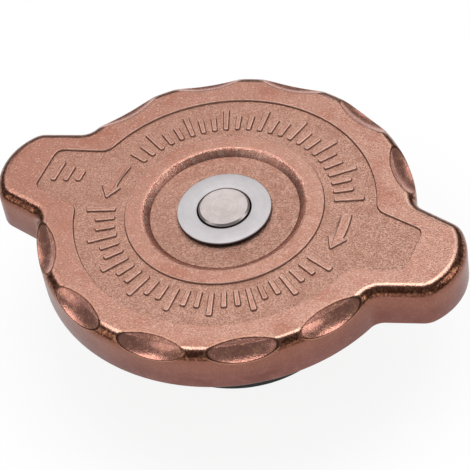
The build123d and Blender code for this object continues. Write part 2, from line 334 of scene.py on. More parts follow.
def dimple_depth(points, growth):
    """Points moved out to the dimples' surface with a soft lip, and how deep each lay in the nearest spindle.

    Growth makes the spindles larger, for the inside of the sheet."""
    top_r, low_r = body_r - dimple_inset, body_r - dimple_edge_inset
    half_chord = math.hypot(low_r - top_r, dimple_drop) / 2
    lean = math.atan2(low_r - top_r, dimple_drop)
    reach = math.sqrt(dimple_section_r**2 - half_chord**2)
    centre_r = (top_r + low_r) / 2 + reach * math.cos(lean)
    centre_z = land_z - dimple_drop / 2 + reach * math.sin(lean)
    section_r, length_r = dimple_section_r + growth, dimple_length_r + growth
    moved, deepest = points.copy(), np.full(len(points), OUTSIDE_DIMPLES)
    steps = [index - (dimples_per_side - 1) / 2 for index in range(dimples_per_side)]
    for degrees in (side + step * dimple_pitch for side in (90, 270) for step in steps):
        c, s = math.cos(math.radians(degrees)), math.sin(math.radians(degrees))
        out, along = points[:, 0] * c + points[:, 1] * s, -points[:, 0] * s + points[:, 1] * c
        spindle_r = section_r - length_r + np.sqrt(np.maximum(length_r**2 - along**2, 0.0))
        off_r, off_z = out - centre_r, points[:, 2] - centre_z
        distance = np.maximum(np.hypot(off_r, off_z), NEAR_ZERO)
        within = (np.abs(along) < dimple_half_length) & (out > 0)
        depth = np.where(within, spindle_r - distance, OUTSIDE_DIMPLES)
        deepest = np.maximum(deepest, depth)
        blend = np.maximum(dimple_lip - np.abs(depth), 0.0) / dimple_lip
        push = np.maximum(depth, 0.0) + blend**2 * dimple_lip / 4
        radial = push * off_r / distance
        moved[:, 0] += radial * c
        moved[:, 1] += radial * s
        moved[:, 2] += push * off_z / distance
    return moved, deepest


def step_profile(start_z, end_z):
    """Soft step from one height to another: how far out and how high each row is."""
    half_run, flat = step_run / 2, step_edge_r + step_flat
    corners = [(-flat, start_z), (-half_run, start_z), (half_run, end_z), (flat, end_z)]
    return rounded(corners, [step_edge_r, step_edge_r])


def step_looks(height):
    """Grain, painted crease shade and painted edge highlight at a share of the height of a step or a mark."""
    return {
        "grain": max(0.0, 1 - 2 * height),
        "crease": float(np.interp(height, CREASE_SHADE_HEIGHTS, CREASE_SHADE_STRENGTHS)),
        "edge": float(np.interp(height, EDGE_HIGHLIGHT_HEIGHTS, EDGE_HIGHLIGHT_STRENGTHS)),
    }


def dish_looks(profile):
    """For each point of the dish's profile: the wall's steepness, the grain and the painted shade line at its
    foot.
    """
    steepest = math.atan2(dish_depth, dish_top_r - dish_floor_r)
    out = []
    for i, (radius, z) in enumerate(profile):
        (r0, z0), (r1, z1) = profile[max(i - 1, 0)], profile[min(i + 1, len(profile) - 1)]
        slope = math.atan2(z1 - z0, r1 - r0) / steepest if radius > hole_r + hole_margin else 0.0
        foot = (radius - dish_floor_r - dish_crease_shift) / dish_crease_width
        out.append({
            "wall": min(max(slope, 0.0), 1.0),
            "grain": float(np.interp(z - dish_z, [0, dish_depth], [1, 0])),
            "crease": math.exp(-foot**2),
        })
    return out


class CoverRows(list):
    """Rings of the cover's closed shell: from the hole over the top, round the skirt and back underneath.

    Each is its plan, its height, its looks and, where dimples reach it, how far the dimple tool is grown."""

    def __init__(self):
        super().__init__()
        self.outer, self.outer_n = lobed_outline(
            body_r, ear_reach, ear_half_width, ear_side_angle, ear_end_r, ear_corner_r, ear_root_r
        )
        slope = math.tan(math.radians(pocket_side_angle))
        pocket_half = pocket_half_width + slope * (pocket_reach - band_outer_r)
        self.band, self.band_n = lobed_outline(
            band_outer_r, pocket_reach, pocket_half, pocket_side_angle, pocket_end_r, pocket_corner_r,
            pocket_root_r,
        )
        polar = np.arctan2(self.band[:, 1], self.band[:, 0])
        self.spokes = np.stack([np.cos(polar), np.sin(polar)], 1)
        self.add_dish()
        self.add_band()
        self.add_shoulder_and_skirt()
        self.add_underside()

    def add(self, xy, z, growth=None, **looks):
        self.append((xy, z, looks, growth))

    def bridge(self, start, end, shares, z, growth=None, **looks):
        for share in shares:
            self.add(start * (1 - share) + end * share, z, growth, **looks)

    def add_dish(self):
        corners = [
            (hole_r, dish_z - sheet), (hole_r, dish_z),
            (dish_floor_r, dish_z), (dish_top_r, land_z),
            (dish_top_r + dish_land, land_z),
        ]
        profile = np.array(rounded(corners, [edge_r, dish_foot_r, dish_edge_r], FINEST_STEPS))
        for (radius, z), looks in zip(profile, dish_looks(profile)):
            self.add(self.spokes * radius, z, **looks)

    def add_band(self):
        """The band between its two steps, and the land outside it."""
        flat = step_edge_r + step_flat
        for shift, z in step_profile(land_z, band_z):
            self.add(self.spokes * (band_inner_r + shift), z, **step_looks((z - band_z) / band_depth))
        inside, outside = self.spokes * (band_inner_r + flat), self.band - self.band_n * flat
        self.bridge(inside, outside, BAND_SHARES, band_z, grain=1.0)
        for shift, z in step_profile(band_z, land_z):
            self.add(self.band + self.band_n * shift, z, **step_looks((z - band_z) / band_depth))
        inside, outside = self.band + self.band_n * flat, self.outer - self.outer_n * shoulder_r
        self.bridge(inside, outside, LAND_SHARES, land_z, 0.0)

    def add_shoulder_and_skirt(self):
        for k in range(SHOULDER_ROWS + 1):
            a = math.pi / 2 * k / SHOULDER_ROWS
            xy = self.outer - self.outer_n * shoulder_r * (1 - math.sin(a))
            self.add(xy, land_z - shoulder_r * (1 - math.cos(a)), 0.0, side=k / SHOULDER_ROWS)
        low_z = land_z - dimple_reach_down
        for z in np.linspace(land_z - shoulder_r, low_z, SKIRT_ROWS + 1)[1:]:
            self.add(self.outer, z, 0.0, side=1.0)
        inside_z = foot_z + skirt_inside_low
        corners = [(0, low_z - skirt_foot_run), (0, foot_z), (-sheet, foot_z), (-sheet, inside_z)]
        for shift, z in rounded(corners, [skirt_edge_r, edge_r]):
            self.add(self.outer + self.outer_n * shift, z, side=1.0)

    def add_underside(self):
        """The inside of the skirt, the land, the band and the dish, one sheet below the top."""
        under_z, under_dish_z, under_band_z = land_z - sheet, dish_z - sheet, band_z - sheet
        root = shoulder_r + shoulder_root_run
        corners = [(sheet, foot_z + skirt_inside_high), (sheet, under_z), (root, under_z)]
        for inset, z in rounded(corners, [shoulder_r - sheet], FINE_STEPS):
            self.add(self.outer - self.outer_n * inset, z, sheet, side=1.0)
        inside, outside = self.outer - self.outer_n * root, self.band + self.band_n * under_land_run
        self.bridge(inside, outside, UNDER_LAND_SHARES, under_z, sheet, side=1.0)
        band_edge = (under_emboss_run, emboss_margin, emboss_margin, 0.0)
        for shift, z in zip(band_edge, (under_z, under_z, under_band_z, under_band_z)):
            self.add(self.band + self.band_n * shift, z, side=1.0)
        middle = [
            (band_inner_r, under_band_z), (band_inner_r - emboss_margin, under_band_z),
            (band_inner_r - emboss_margin, under_z), (dish_top_r + emboss_margin, under_z),
            (dish_floor_r + emboss_margin, under_dish_z),
        ]
        for radius, z in middle:
            self.add(self.spokes * radius, z, side=1.0)


def closed_grid(rings):
    """Faces of a closed surface made of rings of equally many points, the last joined to the first."""
    count, around = len(rings), len(rings[0])
    faces = []
    for i in range(count):
        a, b = i * around, (i + 1) % count * around
        faces += [(a + j, b + j, b + (j + 1) % around, a + (j + 1) % around) for j in range(around)]
    return faces


def make_cover():
    row_looks = ("grain", "crease", "edge", "wall", "side")
    rings, looks = [], {name: [] for name in (*row_looks, "dimple")}
    for xy, z, row, growth in CoverRows():
        count = len(xy)
        points, depth = np.column_stack([xy, np.full(count, z)]), np.full(count, -DIMPLE_SHIFT)
        if growth is not None:
            points, depth = dimple_depth(points, growth)
        rings.append(points)
        for name in row_looks:
            looks[name].append(np.full(count, row.get(name, 0.0)))
        looks["dimple"].append(np.clip(depth + DIMPLE_SHIFT, 0, DIMPLE_TOP))
    shell = new_object("copper_cover", np.concatenate(rings), closed_grid(rings))
    for name, values in looks.items():
        add_attribute(shell, name, np.concatenate(values))
    return shell


def polar_point(radius, degrees):
    a = math.radians(degrees)
    return np.array([radius * math.cos(a), radius * math.sin(a)])


def arc_line(radius, start, end, step=arc_step):
    count = max(2, int(abs(math.radians(end - start)) * radius / step) + 1)
    return [polar_point(radius, start + (end - start) * k / (count - 1)) for k in range(count)]


def round_loop(points, sharp, radius, steps=ARC_STEPS):
    """Closed outline whose corners listed in sharp are rounded; the others lie on its curves."""
    n = len(points)
    out = []
    for i, p in enumerate(points):
        if i not in sharp:
            out.append(p)
            continue
        arc = rounded([points[i - 1], p, points[(i + 1) % n]], [radius], steps)
        out += arc[1:-1]
    return np.array(out)


def unit(vectors):
    return vectors / np.linalg.norm(vectors, axis=1)[:, None]


def loop_normals(loop):
    """Outward unit normals of an anticlockwise closed outline, lengthened at its corners."""
    e0, e1 = unit(loop - np.roll(loop, 1, 0)), unit(np.roll(loop, -1, 0) - loop)
    n0, n1 = np.stack([e0[:, 1], -e0[:, 0]], 1), np.stack([e1[:, 1], -e1[:, 0]], 1)
    middle = unit(n0 + n1)
    return middle / np.clip((middle * n0).sum(1), LEAST_COSINE, 1)[:, None]


def loft(loop, profile):
    """Vertices and faces of a closed block on an outline.

    The profile gives (outward shift, height) from foot to top."""
    normals = loop_normals(loop)
    n = len(loop)
    vertices = np.concatenate([np.column_stack([loop + normals * s, np.full(n, z)]) for s, z in profile])
    faces = []
    for i in range(len(profile) - 1):
        a, b = i * n, (i + 1) * n
        faces += [(a + j, a + (j + 1) % n, b + (j + 1) % n, b + j) for j in range(n)]
    faces.append(tuple(range(n - 1, -1, -1)))
    faces.append(tuple(range((len(profile) - 1) * n, len(profile) * n)))
    return vertices, faces


def joined(name, blocks):
    vertices, faces, start = [], [], 0
    for v, f in blocks:
        vertices.append(v)
        faces += [tuple(i + start for i in face) for face in f]
        start += len(v)
    return new_object(name, np.concatenate(vertices), faces)


def bar_loop(inner_r, outer_r, middle, span):
    low, high = middle - span / 2, middle + span / 2
    inner = arc_line(inner_r, high, low)
    points = inner + arc_line(outer_r, low, high)
    a = len(inner)
    return round_loop(points, {0, a - 1, a, len(points) - 1}, bar_corner_r)


def arrow_loop():
    """Outline of the arrow on the right of the band."""
    tip_r = (arrow_inner_r + arrow_outer_r) / 2
    inner = arc_line(arrow_inner_r, arrow_tail_angle, arrow_neck_angle)
    outer = arc_line(arrow_outer_r, arrow_neck_angle, arrow_tail_angle)
    head = [
        polar_point(arrow_inner_r - arrow_head_overhang, arrow_neck_angle),
        polar_point(tip_r, arrow_tip_angle),
        polar_point(arrow_outer_r + arrow_head_overhang, arrow_neck_angle),
    ]
    points = inner + head + outer
    a = len(inner)
    return round_loop(points, {0, a - 1, a, a + 1, a + 2, a + 3, len(points) - 1}, arrow_corner_r)


def make_marks():
    """Bars round the band, an arrow on each side, and falling bars in the left ear's pocket."""
    loops = []
    for first, last in bar_ranges:
        for index in range(int((last - first) / bar_pitch) + 1):
            outer_r = short_bar_outer_r if index % bars_per_group else long_bar_outer_r
            loops.append(bar_loop(bar_inner_r, outer_r, first + index * bar_pitch, bar_span))
    arrow = arrow_loop()
    loops += [arrow, (arrow * [-1, 1])[::-1]]
    for step in range(pocket_bars):
        half_length = (pocket_bar_length - step * pocket_bar_step) / 2
        x, half_width = (step - pocket_bars // 2) * pocket_bar_pitch - pocket_bar_x, pocket_bar_width / 2
        signs = ((-1, -1), (1, -1), (1, 1), (-1, 1))
        corners = [np.array([x + i * half_width, j * half_length]) for i, j in signs]
        loops.append(round_loop(corners, {0, 1, 2, 3}, bar_corner_r))
    marks = joined("raised_marks", [loft(loop, MARK_PROFILE) for loop in loops])
    point_z = np.array([v.co.z / MM for v in marks.data.vertices])
    looks = [step_looks(share) for share in np.clip((point_z - band_z) / mark_height, 0, 1)]
    for name in looks[0]:
        add_attribute(marks, name, [look[name] for look in looks])
    return marks


def make_claws():
    """Two flat lips turned in from the foot of the skirt, with soft edges."""
    r = edge_r
    soft_edge = [(-r, 0), (-r * ARC_MIDDLE, r * ARC_MIDDLE), (0, r)]
    profile = [(shift, foot_z + rise) for shift, rise in soft_edge]
    profile += [(shift, foot_z + sheet - rise) for shift, rise in reversed(soft_edge)]
    blocks = []
    for middle in (90, 270):
        low, high = middle - claw_half_span, middle + claw_half_span
        inner = arc_line(claw_inner_r, high, low, claw_arc_step)
        points = inner + arc_line(body_r - sheet / 2, low, high, claw_arc_step)
        loop = round_loop(points, {0, len(inner) - 1}, claw_corner_r, FINEST_STEPS)
        blocks.append(loft(loop, profile))
    return joined("locking_claws", blocks)


def soft_corners(corners, steps):
    """Closed profile from its corners' radius, height and rounding."""
    profile = []
    for i, corner in enumerate(corners):
        before, after = corners[i - 1], corners[(i + 1) % len(corners)]
        if corner[2]:
            profile += rounded([before[:2], corner[:2], after[:2]], [corner[2]], steps)[1:-1]
        else:
            profile.append(np.array(corner[:2], float))
    return profile


def turned(name, corners, segments, steps=FINE_STEPS):
    """Closed solid of revolution from the radius, height and rounding of its profile's corners."""
    profile = soft_corners(corners, steps)
    n = len(profile)
    vertices, index = [], {}
    for i, (r, z) in enumerate(profile):
        if r < NEAR_ZERO:
            index[i] = [len(vertices)] * segments
            vertices.append((0.0, 0.0, z))
        else:
            index[i] = list(range(len(vertices), len(vertices) + segments))
            for k in range(segments):
                a = 2 * math.pi * k / segments
                vertices.append((r * math.cos(a), r * math.sin(a), z))
    faces = []
    for i in range(n):
        a, b = index[i], index[(i + 1) % n]
        if a[0] == a[1] and b[0] == b[1]:
            continue
        for k in range(segments):
            m = (k + 1) % segments
            ring = [a[k], a[m], b[m], b[k]]
            faces.append(tuple(v for j, v in enumerate(ring) if v != ring[j - 1]))
    return new_object(name, vertices, faces)


def heights(node):
    low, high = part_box(node)
    return low.z / MM, high.z / MM


def outer_radius(node):
    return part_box(node)[1].y / MM


def make_washer():
    """Flat washer with a shallow recess round the rivet's head."""
    top, low = washer_high.z, washer_low.z
    corners = [
        (shank_r, low, 0), (washer_high.x, low, 0.12),
        (washer_high.x, top, 0.13), (recess_r, top, 0.1),
        (recess_r, top - recess_depth, 0), (shank_r, top - recess_depth, 0),
    ]
    return turned("steel_washer", corners, FINE_SEGMENTS)


def make_rivet():
    """Head with a bevelled rim and a nearly flat crown, shoulder, shank and clinched tail."""
    low, high = rivet_low.z, rivet_high.z
    swivel_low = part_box("swivel_washer")[0].z / MM
    seat = washer_high.z - recess_depth
    corners = [
        (0, low, 0), (tail_r, low, 0.25),
        (tail_r, low + tail_t, 0.25), (shank_r, low + tail_t, 0),
        (shank_r, swivel_low, 0), (rivet_shoulder_r, swivel_low, 0),
        (rivet_shoulder_r, washer_low.z, 0), (shank_r, washer_low.z, 0),
        (shank_r, seat, 0), (head_r, seat, 0.05),
        (head_r, high - bevel_height, 0.1), (head_r - bevel_width, high, 0.12),
        (head_r - bevel_width - crown_inset, high - crown_dip, 0.3), (0, high - crown_dip, 0),
    ]
    return turned("steel_rivet", corners, SEGMENTS)


def make_plate():
    """Shallow pressed dish that backs the seal."""
    low, high = heights("valve_plate")
    radius, floor = outer_radius("valve_plate"), low + plate_t
    corners = [
        (hub_neck_r, low, 0), (radius, low, plate_bend_r),
        (radius, high, 0.25), (radius - plate_t, high, 0.25),
        (radius - plate_t, floor, plate_bend_r * 0.6), (hub_neck_r, floor, 0),
    ]
    return turned("plated_valve_plate", corners, FINE_SEGMENTS, FINEST_STEPS)


def make_seal():
    """Moulded ring with rounded rims and a fine flash line round its edge."""
    low, high = heights("pressure_seal")
    radius, web_low = outer_radius("pressure_seal") - seal_flash, heights("seal_retainer")[1]
    bead_inner_r, middle = retainer_r + seal_bead_gap, (low + high) / 2
    corners = [
        (hub_neck_r, web_low, 0), (bead_inner_r, web_low, 0.1),
        (bead_inner_r, low, 0.15), (radius, low, 0.3),
        (radius, middle - seal_flash_half_t, 0), (radius + seal_flash, middle, 0),
        (radius, middle + seal_flash_half_t, 0), (radius, high, 0.3),
        (hub_neck_r, high, 0),
    ]
    return turned("rubber_seal", corners, FINE_SEGMENTS)


def make_retainer():
    low, high = heights("seal_retainer")
    corners = [(hub_neck_r, low, 0), (retainer_r, low, 0.2), (retainer_r, high, 0.1), (hub_neck_r, high, 0)]
    return turned("steel_retainer", corners, SEGMENTS)


def make_hub():
    """Turned hub: clinched foot, neck, tube, catch flange, and a web inside."""
    low, high = heights("valve_hub")
    foot_r, plate_top = outer_radius("valve_hub"), heights("valve_plate")[0] + plate_t
    web_low, flange_low = low + vacuum_pocket_depth, high - hub_flange_t
    corners = [
        (hub_web_hole_r, web_low, 0.1), (vacuum_pocket_r, web_low, 0),
        (vacuum_pocket_r, low, 0.25), (foot_r, low, 0.25),
        (foot_r, low + hub_foot_t, 0.1), (hub_neck_r, low + hub_foot_t, 0),
        (hub_neck_r, plate_top, 0), (hub_tube_r, plate_top, 0.1),
        (hub_tube_r, flange_low, 0.15), (hub_flange_r, flange_low, 0.15),
        (hub_flange_r, high, 0.15), (hub_bore_r, high, 0.15),
        (hub_bore_r, web_low + hub_web_t, 0), (hub_web_hole_r, web_low + hub_web_t, 0.1),
    ]
    return turned("brass_hub", corners, SEGMENTS, ARC_STEPS)


def make_spring(name, node, joint, fixed_top, middle_r, wire_d, turns):
    """Coil of round wire with both ends ground flat."""
    low, high = heights(node)
    wire_r = wire_d / 2
    steps = int(turns * TURN_STEPS)
    rise = high - low - wire_r
    pitch_angle = math.atan2(rise, 2 * math.pi * middle_r * turns)
    sine, cosine = math.sin(pitch_angle), math.cos(pitch_angle)
    vertices = []
    for i in range(steps + 1):
        turn = 2 * math.pi * turns * i / steps
        out = np.array([math.cos(turn), math.sin(turn), 0.0])
        up = np.array([math.sin(turn) * sine, -math.cos(turn) * sine, cosine])
        centre = out * middle_r + [0, 0, low + wire_r / 2 + rise * i / steps]
        for k in range(WIRE_POINTS):
            a = 2 * math.pi * k / WIRE_POINTS
            point = centre + wire_r * (math.cos(a) * out + math.sin(a) * up)
            point[2] = min(max(point[2], low), high)
            vertices.append(point)
    faces = [tuple(range(WIRE_POINTS)), tuple(range(steps * WIRE_POINTS, (steps + 1) * WIRE_POINTS))[::-1]]
    for i in range(steps):
        a, b = i * WIRE_POINTS, (i + 1) * WIRE_POINTS
        for k in range(WIRE_POINTS):
            m = (k + 1) % WIRE_POINTS
            faces.append((a + k, b + k, b + m, a + m))
    spring = new_object(name, vertices, faces)
    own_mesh(spring)
    return spring


# Sockets of a colour Mix node
COLOUR_A, COLOUR_B, COLOUR_RESULT = 6, 7, 2
WHITE = (1.0, 1.0, 1.0)


class Shader:
    """A Principled material and short calls for the nodes that feed it."""

    def __init__(self, name, **sockets):
        self.material = bpy.data.materials.new(name)
        self.material.use_nodes = True
        self.tree = self.material.node_tree
        self.bsdf = self.tree.nodes["Principled BSDF"]
        self.place = self.tree.nodes.new("ShaderNodeTexCoord").outputs["Object"]
        self.set(**sockets)

    def put(self, kind, values=None, **settings):
        node = self.tree.nodes.new(kind)
        for key, value in settings.items():
            setattr(node, key, value)
        for key, value in (values or {}).items():
            self.feed(node.inputs[key], value)
        return node

    def feed(self, socket, value):
        """Links an output, or sets a value. Colours are given as red, green and blue."""
        if isinstance(value, bpy.types.NodeSocket):
            self.tree.links.new(value, socket)
        else:
            socket.default_value = (*value, 1.0) if isinstance(value, tuple) else value

    def set(self, **sockets):
        for key, value in sockets.items():
            self.feed(self.bsdf.inputs[key.replace("_", " ")], value)

    def attribute(self, name):
        return self.put("ShaderNodeAttribute", attribute_name=name).outputs["Fac"]

    def axis(self, name):
        return self.put("ShaderNodeSeparateXYZ", {"Vector": self.place}).outputs[name]

    def radius(self):
        """Distance from the Z axis."""
        x, y = self.axis("X"), self.axis("Y")
        return self.math("SQRT", self.plus(self.times(x, x), self.times(y, y)))

    def noise(self, size, detail=2.0, roughness=0.5, vector=None):
        """Noise whose features are about size metres across."""
        values = {"Vector": vector or self.place, "Scale": 1 / size, "Detail": detail, "Roughness": roughness}
        return self.put("ShaderNodeTexNoise", values).outputs["Fac"]

    def math(self, operation, a, b=0.0):
        return self.put("ShaderNodeMath", {0: a, 1: b}, operation=operation).outputs[0]

    def plus(self, a, b):
        return self.math("ADD", a, b)

    def minus(self, a, b):
        return self.math("SUBTRACT", a, b)

    def times(self, a, b):
        return self.math("MULTIPLY", a, b)

    def ramp(self, value, low, high):
        """0 below low, 1 above high, smooth between."""
        values = {"Value": value, "From Min": low, "From Max": high}
        return self.put("ShaderNodeMapRange", values, interpolation_type="SMOOTHSTEP").outputs["Result"]

    def line(self, value, middle, inner, outer):
        """1 within inner of the middle value, 0 beyond outer, smooth between."""
        return self.minus(1.0, self.ramp(self.math("ABSOLUTE", self.minus(value, middle)), inner, outer))

    def blend(self, share, a, b):
        return self.put("ShaderNodeMix", {"Factor": share, "A": a, "B": b}).outputs["Result"]

    def mix(self, share, a, b):
        values = {"Factor": share, COLOUR_A: a, COLOUR_B: b}
        return self.put("ShaderNodeMix", values, data_type="RGBA").outputs[COLOUR_RESULT]

    def layered(self, base, *layers):
        """Base with tones laid over it in turn, each given as its mask, its strength and its tone."""
        for mask, strength, tone in layers:
            base = self.mix(self.times(mask, strength), base, tone)
        return base

    def bump(self, height, distance, strength=1.0, normal=None):
        values = {"Height": height, "Distance": distance, "Strength": strength}
        if normal is not None:
            values["Normal"] = normal
        return self.put("ShaderNodeBump", values).outputs["Normal"]


# Copper's noises: feature size in metres, detail and roughness
NOISES = {
    "blotch": (0.006, 4.0, 0.62),
    "skirt": (0.005, 3.0, 0.6),
    "swell": (0.003, 2.0, 0.5),
    "cloud": (0.0024, 4.0, 0.66),
    "fine": (0.0009, 4.0, 0.65),
    "shoulder": (0.0005, 4.0, 0.7),
    "speck": (0.0003, 2.0, 0.6),
    "glint": (0.00026, 1.0, 0.5),
    "sand": (0.00025, 2.0, 0.6),
}

# Copper's tones: linear red, green and blue
TONES = {
    "land shaded left": (0.43, 0.205, 0.155), "land lit right": (0.57, 0.325, 0.255),
    "land blotch": (0.4, 0.165, 0.115), "land cloud": (0.48, 0.225, 0.165),
    "land fine": (0.45, 0.21, 0.155), "land speck": (0.33, 0.145, 0.1),
    "land glint": (0.84, 0.56, 0.46),
    "floor dark": (0.4, 0.205, 0.15), "floor light": (0.7, 0.41, 0.318),
    "floor shaded left": (0.47, 0.235, 0.172), "floor cloud": (0.42, 0.19, 0.135),
    "floor fine": (0.44, 0.215, 0.155), "floor glint": (0.82, 0.54, 0.44),
    "wall dark": (0.84, 0.385, 0.295), "wall light": (1.0, 0.6, 0.47),
    "wall sand": (0.38, 0.145, 0.105), "wall glint": (1.0, 0.7, 0.57),
    "shoulder dark reflection": (0.15, 0.055, 0.034), "shoulder light": (0.46, 0.205, 0.12),
    "brink_highlight": (0.92, 0.62, 0.49),
    "skirt light": (0.255, 0.108, 0.09), "skirt dark": (0.19, 0.072, 0.058),
    "skirt lit top": (0.38, 0.165, 0.105), "skirt fine": (0.36, 0.165, 0.12),
    "skirt speck": (0.19, 0.075, 0.058),
    "hollow dark": (0.6, 0.28, 0.225), "hollow light": (0.84, 0.43, 0.29),
    "hollow speck": (0.44, 0.195, 0.145),
    "dimple outline shade": (0.13, 0.05, 0.032), "dimple rim wear and highlight": (0.72, 0.38, 0.25),
    "edge": (0.95, 0.67, 0.56), "crease": (0.1, 0.04, 0.026),
}

# Painted light and shade: where the copper is drawn lighter, from the shaded left to the lit right and up the
# skirt
painted_light_from_x, painted_light_to_x = -0.045, 0.02
skirt_shade_run, skirt_lit_inset = 1.5, 2.2

# Relief of the finishes, in metres
sand_relief, swell_relief, swell_strength = 0.00014, 0.00012, 0.5
mark_relief, rivet_mark_relief = 0.000005, 0.000009
grit_relief, grit_strength = 0.000008, 0.6
rubber_relief = 0.00003


class Copper(Shader):
    """Satin copper: light on the lands, sand-grained in the recesses, and darker down the shoulder and skirt
    as painted shade.

    Side runs from 0 to 1 down the shoulder and stays 1 below it. Dimple is the depth in millimetres."""

    def __init__(self):
        super().__init__("satin_copper", Metallic=1.0)
        names = ("grain", "crease", "edge", "wall", "side")
        self.grain, self.crease, self.edge, self.wall, self.side = map(self.attribute, names)
        self.dimple = self.minus(self.attribute("dimple"), DIMPLE_SHIFT)
        self.fine, self.sand, self.cloud = map(self.texture, ("fine", "sand", "cloud"))
        self.speck = self.ramp(self.texture("speck"), 0.42, 0.6)
        self.glint = self.ramp(self.texture("glint"), 0.6, 0.7)
        self.painted_light_rightward = self.ramp(self.axis("X"), painted_light_from_x, painted_light_to_x)
        self.set(Base_Color=self.colour(), Roughness=self.roughness(), Normal=self.relief())

    def texture(self, name):
        return self.noise(*NOISES[name])

    def between(self, share, first, second):
        return self.mix(share, TONES[first], TONES[second])

    def toned(self, base, *layers):
        return self.layered(base, *((mask, strength, TONES[tone]) for mask, strength, tone in layers))

    def land(self):
        # Painted light: the land is drawn lighter towards the lit right
        return self.toned(
            self.between(self.painted_light_rightward, "land shaded left", "land lit right"),
            (self.ramp(self.texture("blotch"), 0.5, 0.68), 0.8, "land blotch"),
            (self.ramp(self.cloud, 0.45, 0.62), 0.45, "land cloud"),
            (self.ramp(self.fine, 0.48, 0.66), 0.5, "land fine"),
            (self.speck, 0.55, "land speck"),
            (self.glint, 0.4, "land glint"),
        )

    def floor(self):
        return self.toned(
            self.between(self.ramp(self.sand, 0.38, 0.6), "floor dark", "floor light"),
            # Painted shade: the floor is drawn darker towards the left
            (self.minus(1.0, self.painted_light_rightward), 0.4, "floor shaded left"),
            (self.ramp(self.cloud, 0.5, 0.62), 0.45, "floor cloud"),
            (self.ramp(self.fine, 0.5, 0.7), 0.4, "floor fine"),
            (self.glint, 0.35, "floor glint"),
        )

    def dish_wall(self):
        return self.toned(
            self.between(self.ramp(self.fine, 0.42, 0.6), "wall dark", "wall light"),
            (self.ramp(self.sand, 0.42, 0.56), 0.4, "wall sand"),
            (self.glint, 0.4, "wall glint"),
        )

    def shoulder(self):
        # Painted reflection: the shoulder is drawn dark where it reflects dark surroundings, with random
        # lighter specks
        share = self.ramp(self.texture("shoulder"), 0.46, 0.66)
        return self.between(share, "shoulder dark reflection", "shoulder light")

    def skirt(self):
        # Painted shade: the skirt's tones are darker than the land's
        dark_z, light_z = (foot_z + skirt_shade_run) * MM, (land_z - skirt_lit_inset) * MM
        lit_upward = self.ramp(self.axis("Z"), dark_z, light_z)
        return self.toned(
            self.between(self.ramp(self.texture("skirt"), 0.35, 0.7), "skirt light", "skirt dark"),
            # Painted light: the skirt is drawn lighter up towards the shoulder
            (lit_upward, 0.45, "skirt lit top"),
            (self.ramp(self.fine, 0.5, 0.7), 0.4, "skirt fine"),
            (self.speck, 0.4, "skirt speck"),
        )

    def hollow(self):
        return self.toned(
            self.between(self.ramp(self.fine, 0.46, 0.66), "hollow dark", "hollow light"),
            (self.speck, 0.5, "hollow speck"),
        )

    def colour(self):
        flank = self.mix(self.ramp(self.side, 0.62, 0.85), self.shoulder(), self.skirt())
        # Painted highlight along the top of the shoulder, kept to the right where light falls
        brink_highlight = self.times(self.ramp(self.side, 0.0, 0.06), self.minus(1.0, self.ramp(self.side, 0.1, 0.24)))
        colour = self.mix(self.grain, self.land(), self.floor())
        colour = self.mix(self.ramp(self.wall, 0.1, 0.7), colour, self.dish_wall())
        colour = self.mix(self.ramp(self.side, 0.16, 0.34), colour, flank)
        colour = self.toned(colour, (self.times(brink_highlight, self.painted_light_rightward), 0.28, "brink_highlight"))
        colour = self.mix(self.ramp(self.dimple, 0.0, 0.12), colour, self.hollow())
        # Painted shade in a thin line just inside each dimple, a lighter rim round it that is partly wear and
        # partly painted highlight, painted highlights on the top edges of steps and marks, and painted shade
        # in their creases
        return self.toned(
            colour,
            (self.line(self.dimple, 0.06, 0.03, 0.13), 0.7, "dimple outline shade"),
            (self.line(self.dimple, -0.16, 0.0, 0.16), 0.4, "dimple rim wear and highlight"),
            (self.edge, 0.9, "edge"),
            (self.crease, 0.85, "crease"),
        )

    def roughness(self):
        rough = self.blend(self.grain, 0.36, 0.44)
        rough = self.blend(self.ramp(self.wall, 0.0, 0.3), rough, 0.26)
        rough = self.blend(self.ramp(self.side, 0.0, 0.08), rough, 0.15)
        rough = self.blend(self.ramp(self.side, 0.7, 1.0), rough, 0.33)
        rough = self.blend(self.ramp(self.dimple, 0.0, 0.1), rough, 0.25)
        return self.plus(rough, self.times(self.minus(self.fine, 0.5), 0.15))

    def relief(self):
        """Sand grain, deepest in the recesses, over a slow swell."""
        depth = self.blend(self.grain, 0.6, 1.0)
        depth = self.blend(self.ramp(self.side, 0.0, 0.1), depth, 0.2)
        depth = self.blend(self.ramp(self.wall, 0.1, 0.6), depth, 0.6)
        normal = self.bump(self.times(self.sand, depth), sand_relief)
        return self.bump(self.texture("swell"), swell_relief, swell_strength, normal)


# Other metals: light tone, dark tone and roughness
METALS = {
    "satin_steel": ((0.57, 0.545, 0.555), (0.5, 0.475, 0.485), 0.42),
    "satin_washer_steel": ((0.53, 0.5, 0.51), (0.46, 0.435, 0.445), 0.4),
    "turned_rivet_steel": ((0.57, 0.505, 0.49), (0.42, 0.37, 0.355), 0.32),
    "plated_steel": ((0.54, 0.52, 0.45), (0.42, 0.4, 0.34), 0.36),
    "spring_wire": ((0.5, 0.5, 0.51), (0.38, 0.38, 0.39), 0.3),
    "turned_brass": ((0.66, 0.48, 0.23), (0.54, 0.38, 0.17), 0.32),
}
shade_tone = 0.12
ring_size, mottle_size, grit_size = 0.00022, 0.0022, 0.0004
tone_low, tone_high = 0.35, 0.65
roughness_swing = 0.1

# Depths below the washer's top at which the painted shade is full and ends, in millimetres
washer_shade_depths, rivet_shade_depths = (0.3, 0.04), (0.16, 0.02)


